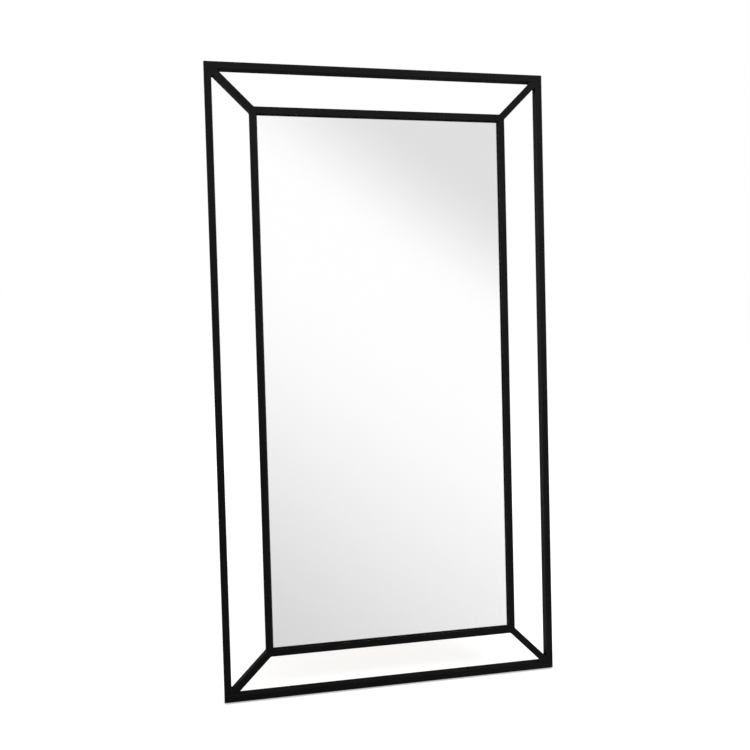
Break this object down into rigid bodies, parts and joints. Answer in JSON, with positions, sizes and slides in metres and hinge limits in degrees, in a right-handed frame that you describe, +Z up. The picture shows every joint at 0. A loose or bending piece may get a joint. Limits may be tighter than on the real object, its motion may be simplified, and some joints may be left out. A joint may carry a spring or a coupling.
{
  "type": "leaning floor mirror",
  "caption": "Full-length leaning floor mirror: open black tube frame with an outer and an inner rectangle joined by diagonal corner struts.",
  "frame": {"origin": "on the floor, under the middle of the bounding box of the mirror as it leans", "axes": "+Z up, +X to the viewer's right along the rails, +Y from the front to the back, towards the wall; the frame leans back 8.5 degrees from +Z towards +Y"},
  "size_m": [0.99, 0.2978, 1.7855],
  "materials": {
    "frame_paint": "satin black powder coat on welded steel tube",
    "glass": "clear float glass with ground edges",
    "silvering": "silvered, painted on the back",
    "seal": "matt black bead",
    "tape": "foam tape",
    "board": "plain pressed fibre board",
    "zinc": "bright zinc plate",
    "rubber": "matt black"
  },
  "bodies": {
    "root": {"outer_bottom_rail": "frame_paint", "outer_right_stile": "frame_paint", "outer_top_rail": "frame_paint", "outer_left_stile": "frame_paint", "inner_bottom_rail": "frame_paint", "inner_right_stile": "frame_paint", "inner_top_rail": "frame_paint", "inner_left_stile": "frame_paint", "strut_bottom_left": "frame_paint", "strut_bottom_right": "frame_paint", "strut_top_left": "frame_paint", "strut_top_right": "frame_paint", "retaining_tab_bottom_left": "frame_paint", "retaining_tab_bottom_right": "frame_paint", "retaining_tab_top_left": "frame_paint", "retaining_tab_top_right": "frame_paint", "retaining_tab_left_lower": "frame_paint", "retaining_tab_right_lower": "frame_paint", "retaining_tab_left_middle": "frame_paint", "retaining_tab_right_middle": "frame_paint", "retaining_tab_left_upper": "frame_paint", "retaining_tab_right_upper": "frame_paint", "mirror_glass": "glass", "silver_layer": "silvering", "edge_seal": "seal", "mounting_tape": "tape", "backing_board": "board", "tab_screws": "zinc", "strap_screws": "zinc", "hanger_strap_left": "zinc", "hanger_strap_right": "zinc", "floor_pad_left": "rubber", "floor_pad_right": "rubber", "wall_bumper_bottom_left": "rubber", "wall_bumper_bottom_right": "rubber", "wall_bumper_top_left": "rubber", "wall_bumper_top_right": "rubber"},
    "left_ring": {"hanger_ring_left": "zinc"},
    "right_ring": {"hanger_ring_right": "zinc"}
  },
  "joints": [
    {"name": "left_ring_swing", "type": "hinge", "parent": "root", "child": "left_ring", "pos_m": [-0.365, 0.07803, 1.33644], "axis": [1, 0, 0], "range_deg": [-7, 176]},
    {"name": "right_ring_swing", "type": "hinge", "parent": "root", "child": "right_ring", "pos_m": [0.365, 0.07803, 1.33644], "axis": [1, 0, 0], "range_deg": [-7, 176]}
  ]
}
